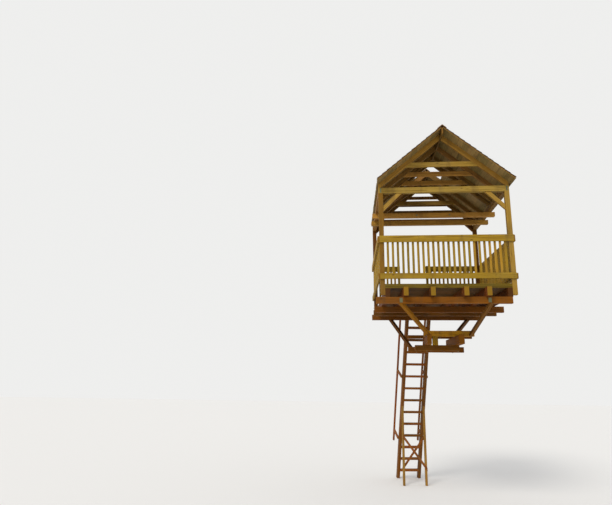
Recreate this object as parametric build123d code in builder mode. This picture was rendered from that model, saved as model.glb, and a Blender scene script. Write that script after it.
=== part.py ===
from build123d import *
import os
from math import atan2, ceil, cos, degrees, hypot, radians, sin, tan

# Tree house on a timber collar clamped round a tree trunk. Millimetres, +X right, +Y to the
# back, where the ladder is, and +Z up. The origin is in the middle of the face that the upper
# front collar beam presses against the trunk.

# Trunk that the house is built round
trunk_diameter = 550
trunk_to_deck = 65
trunk_to_roof = 65

# Collar: a lower and an upper pair of beams with cross beams and blocks between them
collar_height = 3325
collar_beam_high = 130
collar_beam_thick = 100
collar_upper_back_high = 80
collar_front_left_reach = 345
collar_back_left_reach = 650
collar_lower_front_left_reach = 560
collar_lower_front_right_reach = 455
collar_lower_back_right_reach = 690
collar_upper_front_right_reach = 815
collar_upper_back_right_reach = 900
collar_cross_high = 205
collar_cross_thick = 120
collar_cross_reach = 850
collar_right_gap = 90
collar_left_x = -290
collar_left_thick = 100
collar_front_block_x = -86
collar_back_block_x = -140
collar_block_long = 120

# Struts that lean out from the collar to the platform
strut_rise = 430
strut_thick = 75
strut_left_top_inset = 390
strut_front_right_top_inset = 507
strut_back_right_top_inset = 350
strut_end_inset = 80
strut_level_foot_inset = 125
strut_back_right_foot_x = 500
strut_face_drop = 30

# Platform
cabin_width = 2740
cabin_depth = 3050
trunk_from_front = 1800
platform_beam_high = 140
platform_beam_thick = 100
platform_beam_left_reach = 1480
platform_beam_right_reach = 1380
trunk_beam_right_reach = 1530
front_beam_left_reach = 1520
front_beam_right_reach = 1310
joist_high = 190
joist_thick = 100
joist_left_gap = 370
joist_right_gap = 465
joist_inner_clearance = 15
joist_front_reach = 170
deck_thick = 40
deck_strip_high = 90
deck_strip_thick = 25

# Posts and railings
post_side = 100
post_above_beams = 40
headroom = 2105
rail_thick = 40
bottom_rail_above_deck = 155
bottom_rail_high = 120
top_rail_above_deck = 965
top_rail_high = 145
baluster_wide = 48
baluster_thick = 24
baluster_pitch = 109
baluster_lap = 60
newel_side = 60
entrance_left_x = -700
entrance_right_x = 0

# Roof frame
tie_high = 125
tie_thick = 100
trunk_tie_high = 110
trunk_tie_rafter_gap = 35
roof_pitch = 40
rafter_deep = 100
rafter_thick = 60
rafter_seat = 40
rafter_spacing = 560
roof_tie_above_ties = 490
roof_tie_high = 110
roof_tie_thick = 45
ridge_thick = 30
ridge_deep = 140
brace_reach = 420
brace_deep = 85
brace_thick = 60
back_brace_reach = 260
back_brace_deep = 130
back_tie_above_plates = 65

# Roof covering
roof_thick = 50
eave_left_overhang = 80
eave_right_overhang = 130
roof_front_overhang = 350
roof_back_overhang = 150
gable_board_high = 90
gable_board_thick = 25
gable_board_count = 4
gable_board_first = 402
gable_board_spacing = 209

# Ladder
ladder_x = -235
ladder_turn = 8
ladder_clear_width = 520
ladder_run = 1750
ladder_bearing = 30
ladder_rail_thick = 70
ladder_rail_deep = 150
tread_count = 14
first_tread_height = 250
tread_rise = 318
tread_thick = 60
tread_deep = 140
leg_foot_run = 600
leg_foot_shift = 100
leg_top_height = 2050
leg_thick = 50
leg_deep = 80
leg_brace_low = 340
leg_brace_high = 1170
leg_brace_deep = 90
leg_brace_thick = 25
handrail_thick = 45
handrail_deep = 60
handrail_set = 520
handrail_low = 800
handrail_high = 4700
handrail_post_count = 3
handrail_end_margin = 300

# Places worked out from the sizes above
trunk_radius = trunk_diameter / 2
front_y = trunk_radius - trunk_from_front
back_y = front_y + cabin_depth
half_width = cabin_width / 2
cross_bottom_height = collar_height + collar_beam_high
upper_bottom_height = cross_bottom_height + collar_cross_high
ground_z = -(upper_bottom_height + collar_beam_high / 2)
collar_top_height = upper_bottom_height + collar_beam_high
beam_bottom_height = collar_top_height + strut_rise
beam_top_height = beam_bottom_height + platform_beam_high
joist_top_height = beam_top_height + joist_high
deck_top_height = joist_top_height + deck_thick
post_top_height = deck_top_height + headroom
bottom_rail_height = deck_top_height + bottom_rail_above_deck
top_rail_height = deck_top_height + top_rail_above_deck
post_in = half_width - post_side / 2
post_out = half_width + post_side / 2
front_face_y = front_y - post_side / 2
back_face_y = back_y + post_side / 2
tie_top_height = post_top_height + tie_high
roof_rise = tan(radians(roof_pitch))
rafter_apex_height = tie_top_height + (post_out - rafter_seat) * roof_rise
rafter_plumb = rafter_deep / cos(radians(roof_pitch))
roof_plumb = roof_thick / cos(radians(roof_pitch))
roof_hole_half = trunk_radius + trunk_to_roof
roof_front_y = front_y - roof_front_overhang
roof_back_y = back_y + roof_back_overhang

os.makedirs("parts", exist_ok=True)


def up(height):
    """Z of a height above the ground."""
    return ground_z + height


def save(part, label):
    """Labels a piece and writes it."""
    part.label = label
    export_step(part, f"parts/{label}.step")


def beams_along_x(label, x_from, x_to, y_places, bottom, thick, high):
    """Level beams from left to right, each centred on its y."""
    with BuildPart() as beams:
        with BuildSketch(Plane.YZ.offset(x_from)):
            with Locations(*[(y, up(bottom) + high / 2) for y in y_places]):
                Rectangle(thick, high)
        extrude(amount=x_to - x_from)
    save(beams.part, label)


def beams_along_y(label, x_places, y_from, y_to, bottom, thick, high):
    """Level beams from front to back, each centred on its x."""
    with BuildPart() as beams:
        with BuildSketch(Plane.XZ.offset(-y_from)):
            with Locations(*[(x, up(bottom) + high / 2) for x in x_places]):
                Rectangle(thick, high)
        extrude(amount=y_from - y_to)
    save(beams.part, label)


# Collar round the trunk
collar_front_y = -collar_beam_thick / 2
collar_back_y = trunk_diameter + collar_beam_thick / 2
beams_along_x(
    "collar_lower_front", -collar_lower_front_left_reach, collar_lower_front_right_reach,
    [collar_front_y], collar_height, collar_beam_thick, collar_beam_high,
)
beams_along_x(
    "collar_lower_back", -collar_back_left_reach, collar_lower_back_right_reach,
    [collar_back_y], collar_height, collar_beam_thick, collar_beam_high,
)
beams_along_x(
    "collar_upper_front", -collar_front_left_reach, collar_upper_front_right_reach,
    [collar_front_y], upper_bottom_height, collar_beam_thick, collar_beam_high,
)
beams_along_x(
    "collar_upper_back", -collar_back_left_reach, collar_upper_back_right_reach,
    [collar_back_y], upper_bottom_height, collar_beam_thick, collar_upper_back_high,
)
# The left cross beam stops at the trunk, and the right one passes it
collar_cross_front_y = trunk_radius - collar_cross_reach
beams_along_y(
    "collar_left", [collar_left_x],
    collar_cross_front_y, 0, cross_bottom_height, collar_left_thick, collar_cross_high,
)
beams_along_y(
    "collar_right", [trunk_radius + collar_right_gap + collar_cross_thick / 2],
    collar_cross_front_y, trunk_radius + collar_cross_reach,
    cross_bottom_height, collar_cross_thick, collar_cross_high,
)
with BuildPart() as collar_blocks:
    with BuildSketch(Plane.XY.offset(up(cross_bottom_height))):
        with Locations((collar_front_block_x, collar_front_y), (collar_back_block_x, collar_back_y)):
            Rectangle(collar_block_long, collar_beam_thick)
    extrude(amount=collar_cross_high)
save(collar_blocks.part, "collar_blocks")

# Platform beams and joists
front_beam_y = front_face_y + platform_beam_thick / 2
back_beam_y = back_face_y - platform_beam_thick / 2
trunk_beam_places = [-platform_beam_thick / 2, trunk_diameter + platform_beam_thick / 2]
platform_beams = {
    "platform_beam_front": ([front_beam_y], front_beam_left_reach, front_beam_right_reach),
    "platform_beams_trunk": (trunk_beam_places, platform_beam_left_reach, trunk_beam_right_reach),
    "platform_beam_back": ([back_beam_y], platform_beam_left_reach, platform_beam_right_reach),
}
for label, (y_places, left_reach, right_reach) in platform_beams.items():
    beams_along_x(
        label, -left_reach, right_reach,
        y_places, beam_bottom_height, platform_beam_thick, platform_beam_high,
    )
joist_inner_x = trunk_radius + joist_inner_clearance + joist_thick / 2
joist_edge_x = post_in - joist_thick / 2
# The joists at the edges end at the posts' front faces, and the others reach in front of them
joist_reaches = {
    -joist_edge_x: 0,
    joist_left_gap - joist_edge_x: joist_front_reach,
    -joist_inner_x: joist_front_reach,
    joist_inner_x: joist_front_reach,
    joist_edge_x - joist_right_gap: joist_front_reach,
    joist_edge_x: 0,
}
with BuildPart() as floor_joists:
    for x, reach in joist_reaches.items():
        with BuildSketch(Plane.XZ.offset(reach - front_face_y)):
            with Locations((x, up(beam_top_height) + joist_high / 2)):
                Rectangle(joist_thick, joist_high)
        extrude(amount=front_face_y - reach - back_face_y)
save(floor_joists.part, "floor_joists")


# Struts: square timbers from the collar to the platform beams, cut level under the platform and
# either level on a collar beam or upright against its face
strut_top_z = up(beam_bottom_height)
strut_tops = {
    "strut_front_left": (strut_left_top_inset - half_width, front_beam_y, strut_top_z),
    "strut_front_right": (half_width - strut_front_right_top_inset, front_beam_y, strut_top_z),
    "strut_back_left": (strut_left_top_inset - half_width, back_beam_y, strut_top_z),
    "strut_back_right": (half_width - strut_back_right_top_inset, back_beam_y, strut_top_z),
}
strut_feet = {
    "strut_front_left": (
        collar_left_x,
        collar_cross_front_y + strut_level_foot_inset,
        up(upper_bottom_height),
    ),
    "strut_front_right": (
        collar_upper_front_right_reach - strut_end_inset,
        -collar_beam_thick,
        up(upper_bottom_height + collar_beam_high / 2 - strut_face_drop),
    ),
    "strut_back_left": (
        strut_end_inset - collar_back_left_reach,
        trunk_diameter + collar_beam_thick,
        up(collar_height + collar_beam_high - strut_face_drop),
    ),
    "strut_back_right": (
        strut_back_right_foot_x,
        collar_back_y,
        up(upper_bottom_height + collar_upper_back_high),
    ),
}
strut_foot_normals = {
    "strut_front_left": (0, 0, 1),
    "strut_front_right": (0, -1, 0),
    "strut_back_left": (0, 1, 0),
    "strut_back_right": (0, 0, 1),
}
strut_overrun = 3 * strut_thick
for label, top in strut_tops.items():
    foot = strut_feet[label]
    axis = Vector(*top) - Vector(*foot)
    start = Vector(*foot) - axis.normalized() * strut_overrun
    across = Vector(0, 0, 1).cross(axis)
    with BuildPart() as strut:
        with BuildSketch(Plane(origin=start, x_dir=across, z_dir=axis)):
            Rectangle(strut_thick, strut_thick)
        extrude(amount=axis.length + 2 * strut_overrun)
        split(bisect_by=Plane(origin=top, x_dir=(1, 0, 0), z_dir=(0, 0, -1)), keep=Keep.TOP)
        split(
            bisect_by=Plane(origin=foot, x_dir=(1, 0, 0), z_dir=strut_foot_normals[label]),
            keep=Keep.TOP,
        )
    save(strut.part, label)

# Deck with the trunk's hole, and the light strip along its front edge
deck_front_y = front_face_y + deck_strip_thick
with BuildPart() as floor_deck:
    with BuildSketch(Plane.XY.offset(up(joist_top_height))):
        with Locations((0, (deck_front_y + back_face_y) / 2)):
            Rectangle(2 * post_in, back_face_y - deck_front_y)
        with Locations((0, trunk_radius)):
            Circle(trunk_radius + trunk_to_deck, mode=Mode.SUBTRACT)
    extrude(amount=deck_thick)
save(floor_deck.part, "floor_deck")
beams_along_x(
    "deck_edge_front", -post_in, post_in,
    [front_face_y + deck_strip_thick / 2], joist_top_height, deck_strip_thick, deck_strip_high,
)

# Corner posts, from the platform beams to the tie beams
post_places = {
    "post_front_left": (-half_width, front_y),
    "post_front_right": (half_width, front_y),
    "post_back_left": (-half_width, back_y),
    "post_back_right": (half_width, back_y),
}
for label, place in post_places.items():
    with BuildPart() as post:
        with BuildSketch(Plane.XY.offset(up(beam_top_height + post_above_beams))):
            with Locations(place):
                Rectangle(post_side, post_side)
        extrude(amount=post_top_height - beam_top_height - post_above_beams)
    save(post.part, label)


# Railing panels: two rails on the outside of the posts, with balusters on their inner faces
def railing_panel(face_plane, rail_from, rail_to, inner_from, inner_to):
    """A panel on a plane that faces outwards, with its balusters between inner_from and inner_to."""
    rails = ((bottom_rail_height, bottom_rail_high), (top_rail_height, top_rail_high))
    gaps = max(1, ceil((inner_to - inner_from) / baluster_pitch) - 1)
    pitch = (inner_to - inner_from - baluster_wide) / gaps
    inset = (inner_to - inner_from - pitch * (gaps - 1)) / 2
    baluster_from = bottom_rail_height + bottom_rail_high - baluster_lap
    baluster_high = top_rail_height + baluster_lap - baluster_from
    with BuildPart() as panel:
        with BuildSketch(face_plane):
            for height, high in rails:
                with Locations(((rail_from + rail_to) / 2, up(height) + high / 2)):
                    Rectangle(rail_to - rail_from, high)
        extrude(amount=rail_thick)
        with BuildSketch(face_plane):
            for i in range(gaps):
                with Locations((inner_from + inset + i * pitch, up(baluster_from) + baluster_high / 2)):
                    Rectangle(baluster_wide, baluster_high)
        extrude(amount=-baluster_thick)
    return panel.part


front_plane = Plane(origin=(0, front_face_y, 0), x_dir=(1, 0, 0), z_dir=(0, -1, 0))
back_plane = Plane(origin=(0, back_face_y, 0), x_dir=(-1, 0, 0), z_dir=(0, 1, 0))
left_plane = Plane(origin=(-post_out, 0, 0), x_dir=(0, -1, 0), z_dir=(-1, 0, 0))
right_plane = Plane(origin=(post_out, 0, 0), x_dir=(0, 1, 0), z_dir=(1, 0, 0))
side_inner_from = front_y + post_side / 2
side_inner_to = back_y - post_side / 2
save(railing_panel(front_plane, -post_out, post_out, -post_in, post_in), "front_railing")
save(
    railing_panel(right_plane, front_face_y, back_face_y, side_inner_from, side_inner_to),
    "right_railing",
)
save(
    railing_panel(left_plane, -back_face_y, -front_face_y, -side_inner_to, -side_inner_from),
    "left_railing",
)
save(
    railing_panel(back_plane, -entrance_left_x, post_out, newel_side - entrance_left_x, post_in),
    "back_railing_left",
)
save(
    railing_panel(back_plane, -post_out, -entrance_right_x, -post_in, -entrance_right_x - newel_side),
    "back_railing_right",
)

# Newels at both sides of the entrance, on the inner faces of the back rails
newel_y = back_face_y - newel_side / 2
with BuildPart() as entrance_newels:
    with BuildSketch(Plane.XY.offset(up(deck_top_height))):
        with Locations(
            (entrance_left_x - newel_side / 2, newel_y),
            (entrance_right_x + newel_side / 2, newel_y),
        ):
            Rectangle(newel_side, newel_side)
    extrude(amount=top_rail_height + top_rail_high - deck_top_height)
save(entrance_newels.part, "entrance_newels")

# Front tie beam on the posts, wall plates behind it, and two beams under the plates that pass the trunk
front_tie_y = front_face_y + tie_thick / 2
back_rafter_y = back_face_y - rafter_thick / 2
back_tie_y = back_rafter_y - rafter_thick / 2 - tie_thick / 2
beams_along_x(
    "tie_beam_front", -post_out, post_out,
    [front_tie_y], post_top_height, tie_thick, tie_high,
)
beams_along_y(
    "wall_plates", [-half_width, half_width],
    front_tie_y + tie_thick / 2, back_face_y,
    post_top_height, post_side, tie_high,
)
trunk_tie_reach = (rafter_apex_height - post_top_height) / roof_rise - trunk_tie_rafter_gap
beams_along_x(
    "tie_beams_trunk", -trunk_tie_reach, trunk_tie_reach,
    [-tie_thick / 2, trunk_diameter + tie_thick / 2],
    post_top_height - trunk_tie_high, tie_thick, trunk_tie_high,
)

# Knee braces between the posts and the front and back tie beams
back_tie_height = tie_top_height + back_tie_above_plates
back_brace_y = back_tie_y + tie_thick / 2 - brace_thick / 2
brace_places = (
    (front_tie_y, post_top_height, brace_reach, brace_deep),
    (back_brace_y, back_tie_height, back_brace_reach, back_brace_deep),
)
with BuildPart() as knee_braces:
    for y, top, reach, deep in brace_places:
        level_cut = deep / sin(radians(45))
        for side in (-1, 1):
            with BuildSketch(Plane.XZ.offset(-y)):
                with BuildLine():
                    Polyline(
                        (side * post_in, up(top - reach)),
                        (side * post_in, up(top - reach + level_cut)),
                        (side * (post_in - reach + level_cut), up(top)),
                        (side * (post_in - reach), up(top)),
                        close=True,
                    )
                make_face()
            extrude(amount=brace_thick / 2, both=True)
save(knee_braces.part, "knee_braces")


# Roof frame
def rafter_bottom(x):
    """Height of the rafters' underside at a distance from the middle."""
    return rafter_apex_height - x * roof_rise


def roof_profile(side, x_from, x_to, low, high):
    """Points of a strip that follows the slope, between two plumb offsets from the underside."""
    return (
        (side * x_from, up(rafter_bottom(x_from) + low)),
        (side * x_to, up(rafter_bottom(x_to) + low)),
        (side * x_to, up(rafter_bottom(x_to) + high)),
        (side * x_from, up(rafter_bottom(x_from) + high)),
    )


roof_half_widths = {-1: half_width + eave_left_overhang, 1: half_width + eave_right_overhang}
hole_front_y = trunk_radius - roof_hole_half
hole_back_y = trunk_radius + roof_hole_half
front_trimmer_y = hole_front_y - rafter_thick / 2
back_trimmer_y = hole_back_y + rafter_thick / 2
tied_count = int((front_trimmer_y - front_tie_y - 2 * rafter_thick) / rafter_spacing) + 1
tied_places = [front_tie_y + i * rafter_spacing for i in range(tied_count)]
back_gaps = ceil((back_rafter_y - back_trimmer_y) / rafter_spacing)
back_gap = (back_rafter_y - back_trimmer_y) / back_gaps
tied_places += [back_trimmer_y + i * back_gap for i in range(1, back_gaps)]
rafter_places = [*tied_places, front_trimmer_y, back_trimmer_y, back_rafter_y]
with BuildPart() as rafters:
    for side, half in roof_half_widths.items():
        for y in rafter_places:
            with BuildSketch(Plane.XZ.offset(-y)):
                with BuildLine():
                    Polyline(*roof_profile(side, ridge_thick / 2, post_out, 0, rafter_plumb), close=True)
                make_face()
                # Seat over the wall plate
                with Locations((side * post_out / 2, up(tie_top_height) - rafter_plumb / 2)):
                    Rectangle(post_out, rafter_plumb, mode=Mode.SUBTRACT)
            extrude(amount=rafter_thick / 2, both=True)
save(rafters.part, "rafters")

ridge_top = rafter_bottom(ridge_thick / 2) + rafter_plumb
with BuildPart() as ridge_board:
    for y_from, y_to in ((roof_front_y, hole_front_y), (hole_back_y, roof_back_y)):
        with BuildSketch(Plane.XZ.offset(-y_from)):
            with Locations((0, up(ridge_top) - ridge_deep / 2)):
                Rectangle(ridge_thick, ridge_deep)
        extrude(amount=y_from - y_to)
save(ridge_board.part, "ridge_board")

roof_tie_height = tie_top_height + roof_tie_above_ties
with BuildPart() as roof_ties:
    for y in tied_places:
        low_half = (rafter_apex_height - roof_tie_height) / roof_rise
        high_half = (rafter_apex_height - roof_tie_height - roof_tie_high) / roof_rise
        with BuildSketch(Plane.XZ.offset(-y)):
            with BuildLine():
                Polyline(
                    (-low_half, up(roof_tie_height)),
                    (low_half, up(roof_tie_height)),
                    (high_half, up(roof_tie_height + roof_tie_high)),
                    (-high_half, up(roof_tie_height + roof_tie_high)),
                    close=True,
                )
            make_face()
        extrude(amount=roof_tie_thick / 2, both=True)
save(roof_ties.part, "roof_ties")

# Roof slopes, open round the trunk
for label, side in {"roof_left": -1, "roof_right": 1}.items():
    slope_points = roof_profile(side, 0, roof_half_widths[side], rafter_plumb, rafter_plumb + roof_plumb)
    with BuildPart() as slope:
        with BuildSketch(Plane.XZ.offset(-roof_front_y)):
            with BuildLine():
                Polyline(*slope_points, close=True)
            make_face()
        extrude(amount=roof_front_y - roof_back_y)
        with BuildSketch(Plane.XY.offset(up(tie_top_height))):
            with Locations((0, trunk_radius)):
                Rectangle(2 * roof_hole_half, 2 * roof_hole_half)
        extrude(amount=rafter_apex_height, mode=Mode.SUBTRACT)
    save(slope.part, label)

# Back tie beam above the wall plates, against the last rafters, its upper corners cut to the slopes
with BuildPart() as tie_beam_back:
    with BuildSketch(Plane.XZ.offset(tie_thick / 2 - back_tie_y)):
        with BuildLine():
            end_height = rafter_bottom(post_out) + rafter_plumb
            back_tie_top = back_tie_height + tie_high
            top_half = (rafter_apex_height + rafter_plumb - back_tie_top) / roof_rise
            Polyline(
                (-post_out, up(back_tie_height)),
                (post_out, up(back_tie_height)),
                (post_out, up(end_height)),
                (top_half, up(back_tie_top)),
                (-top_half, up(back_tie_top)),
                (-post_out, up(end_height)),
                close=True,
            )
        make_face()
    extrude(amount=-tie_thick)
save(tie_beam_back.part, "tie_beam_back")

# Spaced boards across the back gable, on the outer faces of the last rafters
with BuildPart() as back_gable_boards:
    for i in range(gable_board_count):
        height = tie_top_height + gable_board_first + i * gable_board_spacing
        low_half = (rafter_apex_height + rafter_plumb - height) / roof_rise
        high_half = low_half - gable_board_high / roof_rise
        with BuildSketch(Plane.XZ.offset(-back_face_y)):
            with BuildLine():
                Polyline(
                    (-low_half, up(height)),
                    (low_half, up(height)),
                    (high_half, up(height + gable_board_high)),
                    (-high_half, up(height + gable_board_high)),
                    close=True,
                )
            make_face()
        extrude(amount=-gable_board_thick)
save(back_gable_boards.part, "back_gable_boards")

# Ladder: drawn on upright planes that run away from the platform, turned a little to the left.
# Sideways places are measured from the ladder's middle line, and runs from the back of the platform.
ladder_away = Vector(-sin(radians(ladder_turn)), cos(radians(ladder_turn)), 0)
ladder_side = Vector(cos(radians(ladder_turn)), sin(radians(ladder_turn)), 0)
ladder_origin = Vector(ladder_x, back_face_y, 0)
ladder_slope = deck_top_height / (ladder_run + ladder_bearing)
ladder_length = hypot(deck_top_height, ladder_run + ladder_bearing)
ladder_rail_level = ladder_rail_deep * ladder_length / deck_top_height
ladder_rail_inner = ladder_clear_width / 2
ladder_rail_outer = ladder_rail_inner + ladder_rail_thick
ladder_rail_profile = [
    (ladder_run - ladder_rail_level / 2, up(0)),
    (ladder_run + ladder_rail_level / 2, up(0)),
    (ladder_rail_level / 2 - ladder_bearing, up(deck_top_height)),
    (-ladder_rail_level / 2 - ladder_bearing, up(deck_top_height)),
]
platform_back = Plane(origin=(0, back_face_y, 0), x_dir=(1, 0, 0), z_dir=(0, 1, 0))


def ladder_plane(sideways):
    """The upright plane along the ladder at a distance to the right of its middle."""
    return Plane(origin=ladder_origin + ladder_side * sideways, x_dir=ladder_away, z_dir=ladder_side)


def ladder_reach(height):
    """Run of the middle of the side rails at a height."""
    return ladder_run - height / ladder_slope


for label, start in {
    "ladder_rail_left": -ladder_rail_outer,
    "ladder_rail_right": ladder_rail_inner,
}.items():
    with BuildPart() as ladder_rail:
        with BuildSketch(ladder_plane(start)):
            with BuildLine():
                Polyline(*ladder_rail_profile, close=True)
            make_face()
        extrude(amount=ladder_rail_thick)
        split(bisect_by=platform_back, keep=Keep.TOP)
    save(ladder_rail.part, label)

with BuildPart() as ladder_treads:
    for i in range(tread_count):
        height = first_tread_height + i * tread_rise
        with BuildSketch(ladder_plane(-ladder_rail_inner)):
            with Locations((ladder_reach(height), up(height) - tread_thick / 2)):
                Rectangle(tread_deep, tread_thick)
        extrude(amount=ladder_clear_width)
    split(bisect_by=platform_back, keep=Keep.TOP)
save(ladder_treads.part, "ladder_treads")

# Prop legs that lean back and to the right to butt against the front faces of the side rails
ladder_rail_middle = ladder_rail_inner + ladder_rail_thick / 2
leg_lean = ladder_reach(leg_top_height) - leg_foot_run
leg_length = hypot(leg_lean, leg_top_height)
leg_level = leg_deep * leg_length / leg_top_height
leg_axis = ladder_away * leg_lean + ladder_side * leg_foot_shift + Vector(0, 0, leg_top_height)
legs_middle = ladder_origin + ladder_away * leg_foot_run + Vector(0, 0, up(0))
with BuildPart() as ladder_legs:
    for side in (-1, 1):
        foot = legs_middle + ladder_side * (side * ladder_rail_middle - leg_foot_shift)
        with BuildSketch(Plane(origin=foot, x_dir=ladder_away)):
            Rectangle(leg_level, leg_thick)
        extrude(amount=leg_axis.length, dir=leg_axis)
    with BuildSketch(ladder_plane(0)):
        with BuildLine():
            Polyline(*ladder_rail_profile, close=True)
        make_face()
    extrude(amount=ladder_rail_outer + leg_thick, both=True, mode=Mode.SUBTRACT)
save(ladder_legs.part, "ladder_legs")


def leg_drift(along):
    """How far a leg is to the left of its top at a length along it from the ground."""
    return leg_foot_shift * (1 - along / leg_length)


# Crossed boards, one on the front faces of the legs and one on their back faces
brace_half = ladder_rail_middle + leg_thick / 2
brace_low = leg_brace_low * leg_length / leg_top_height
brace_high = leg_brace_high * leg_length / leg_top_height
with BuildPart() as ladder_cross_braces:
    for face in (-1, 1):
        brace_corners = [
            (-brace_half, brace_high),
            (-brace_half, brace_high + leg_brace_deep),
            (brace_half, brace_low + leg_brace_deep),
            (brace_half, brace_low),
        ]
        with BuildSketch(Plane(
            origin=legs_middle + ladder_away * (face * leg_level / 2),
            x_dir=ladder_side * -face,
            z_dir=ladder_away * (face * leg_top_height) - Vector(0, 0, face * leg_lean),
        )):
            with BuildLine():
                Polyline(*[(x + face * leg_drift(along), along) for x, along in brace_corners], close=True)
            make_face()
        extrude(amount=leg_brace_thick)
save(ladder_cross_braces.part, "ladder_cross_braces")

# Handrails behind the ladder and parallel to it, on posts fixed to the outsides of the side rails
ladder_lean = degrees(atan2(deck_top_height, ladder_run + ladder_bearing))
set_run = handrail_set * sin(radians(ladder_lean))
set_rise = handrail_set * cos(radians(ladder_lean))
handrail_length = (handrail_high - handrail_low) * ladder_length / deck_top_height
handrail_middle = (handrail_low + handrail_high) / 2
post_step = (handrail_high - handrail_low - 2 * handrail_end_margin) / (handrail_post_count - 1)
handrail_starts = (-ladder_rail_outer - handrail_thick, ladder_rail_outer)
with BuildPart() as handrails:
    for start in handrail_starts:
        with BuildSketch(ladder_plane(start)):
            with Locations((ladder_reach(handrail_middle) + set_run, up(handrail_middle) + set_rise)):
                Rectangle(handrail_length, handrail_deep, rotation=-ladder_lean)
        extrude(amount=handrail_thick)
save(handrails.part, "handrails")

# Each post runs from the middle of a side rail to the near face of its handrail
handrail_post_long = handrail_set - handrail_deep / 2
handrail_post_middle = handrail_post_long / 2 / handrail_set
with BuildPart() as handrail_posts:
    for start in handrail_starts:
        with BuildSketch(ladder_plane(start)):
            for i in range(handrail_post_count):
                height = handrail_low + handrail_end_margin + i * post_step
                with Locations((
                    ladder_reach(height) + set_run * handrail_post_middle,
                    up(height) + set_rise * handrail_post_middle,
                )):
                    Rectangle(handrail_post_long, handrail_deep, rotation=90 - ladder_lean)
        extrude(amount=handrail_thick)
save(handrail_posts.part, "handrail_posts")
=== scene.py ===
# %% [markdown]
# # A tree house of sawn timber
#
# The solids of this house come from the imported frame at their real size, in metres, with the origin
# in the middle of the inner face of the collar's upper front beam. Here each timber gets rounded
# edges, its own grain and its own shade, and the plain slabs of the deck and the roof become boards
# and shingles.

# %% Load the frame
import math
import random

import bmesh
import bpy
from mathutils import Matrix, Vector, noise


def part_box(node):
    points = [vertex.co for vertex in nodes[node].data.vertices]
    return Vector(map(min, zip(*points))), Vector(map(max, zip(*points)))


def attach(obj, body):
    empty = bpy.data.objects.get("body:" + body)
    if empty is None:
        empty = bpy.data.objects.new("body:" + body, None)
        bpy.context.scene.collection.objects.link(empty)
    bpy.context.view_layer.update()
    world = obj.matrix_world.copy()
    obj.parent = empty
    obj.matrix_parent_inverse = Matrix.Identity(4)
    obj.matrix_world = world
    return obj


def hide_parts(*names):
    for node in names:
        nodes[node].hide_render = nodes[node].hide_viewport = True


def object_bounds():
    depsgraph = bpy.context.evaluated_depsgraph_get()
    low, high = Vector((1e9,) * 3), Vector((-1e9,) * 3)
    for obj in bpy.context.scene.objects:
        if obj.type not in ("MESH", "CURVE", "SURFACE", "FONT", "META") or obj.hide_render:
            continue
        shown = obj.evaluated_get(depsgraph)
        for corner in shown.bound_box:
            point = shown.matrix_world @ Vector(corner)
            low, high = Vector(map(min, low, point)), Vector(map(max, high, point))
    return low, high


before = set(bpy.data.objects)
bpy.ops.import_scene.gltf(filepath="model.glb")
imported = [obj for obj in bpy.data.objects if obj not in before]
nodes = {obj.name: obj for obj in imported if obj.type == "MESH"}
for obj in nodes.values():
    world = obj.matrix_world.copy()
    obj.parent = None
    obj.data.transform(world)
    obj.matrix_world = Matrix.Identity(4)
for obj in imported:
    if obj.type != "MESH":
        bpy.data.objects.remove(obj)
cad_low, cad_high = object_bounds()
print("CAD box", [round(v, 3) for v in cad_low], [round(v, 3) for v in cad_high])

# %% [markdown]
# ## Camera
#
# The picture looks up at the house from a raised place in front of it and to its left. The lens was
# worked out from the converging edges of the railings and the roof, so the pitch, the turn and the
# small roll are all that the view needs, and no shift.

# %% Add an object
def add_object(name, data):
    """An object in the scene that shows a mesh, a camera or a lamp."""
    made = bpy.data.objects.new(name, data)
    bpy.context.scene.collection.objects.link(made)
    return made


# %% Place the camera
CAMERA_PLACE = (-2.07, -12.675, -1.125)
LENS = 30.76
SENSOR_WIDTH = 36
PITCH_UP = math.radians(13.84)
TURN_LEFT = math.radians(4.91)
ROLL = math.radians(0.67)

camera_data = bpy.data.cameras.new("camera")
camera_data.lens = LENS
camera_data.sensor_width = SENSOR_WIDTH
camera_data.sensor_fit = "HORIZONTAL"
camera = add_object("camera", camera_data)
camera.matrix_world = (
    Matrix.Translation(CAMERA_PLACE)
    @ Matrix.Rotation(TURN_LEFT, 4, "Z")
    @ Matrix.Rotation(math.pi / 2 + PITCH_UP, 4, "X")
    @ Matrix.Rotation(ROLL, 4, "Z")
)
bpy.context.scene.camera = camera
print("camera at", CAMERA_PLACE, "with a lens of", LENS, "mm")

# %% [markdown]
# ## Node groups
#
# All the timber finishes share two effects, sawn grain and weather, and the weather group also paints
# shade on undersides. Each is a shader node group with named sockets, so one drawing of it serves
# every timber colour with other values. The short helpers below add a node, link it, and open a group.

# %% Add nodes, links and groups
def node(tree, kind, **settings):
    """Adds a node of a kind, with its properties and, by socket name, its input values."""
    made = tree.nodes.new(kind)
    for key, value in settings.items():
        if hasattr(made, key):
            setattr(made, key, value)
        else:
            made.inputs[key.replace("_", " ")].default_value = value
    return made


def join(tree, *pairs):
    """Links pairs of (output, input) sockets."""
    for source, target in pairs:
        tree.links.new(source, target)


def open_group(name, inputs, outputs):
    """A shader node group with its sockets: (name, kind, start value)."""
    group = bpy.data.node_groups.new(name, "ShaderNodeTree")
    for title, kind, value in inputs:
        group.interface.new_socket(title, in_out="INPUT", socket_type=kind).default_value = value
    for title, kind in outputs:
        group.interface.new_socket(title, in_out="OUTPUT", socket_type=kind)
    entry = group.nodes.new("NodeGroupInput")
    leave = group.nodes.new("NodeGroupOutput")
    return group, entry.outputs, leave.inputs


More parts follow.
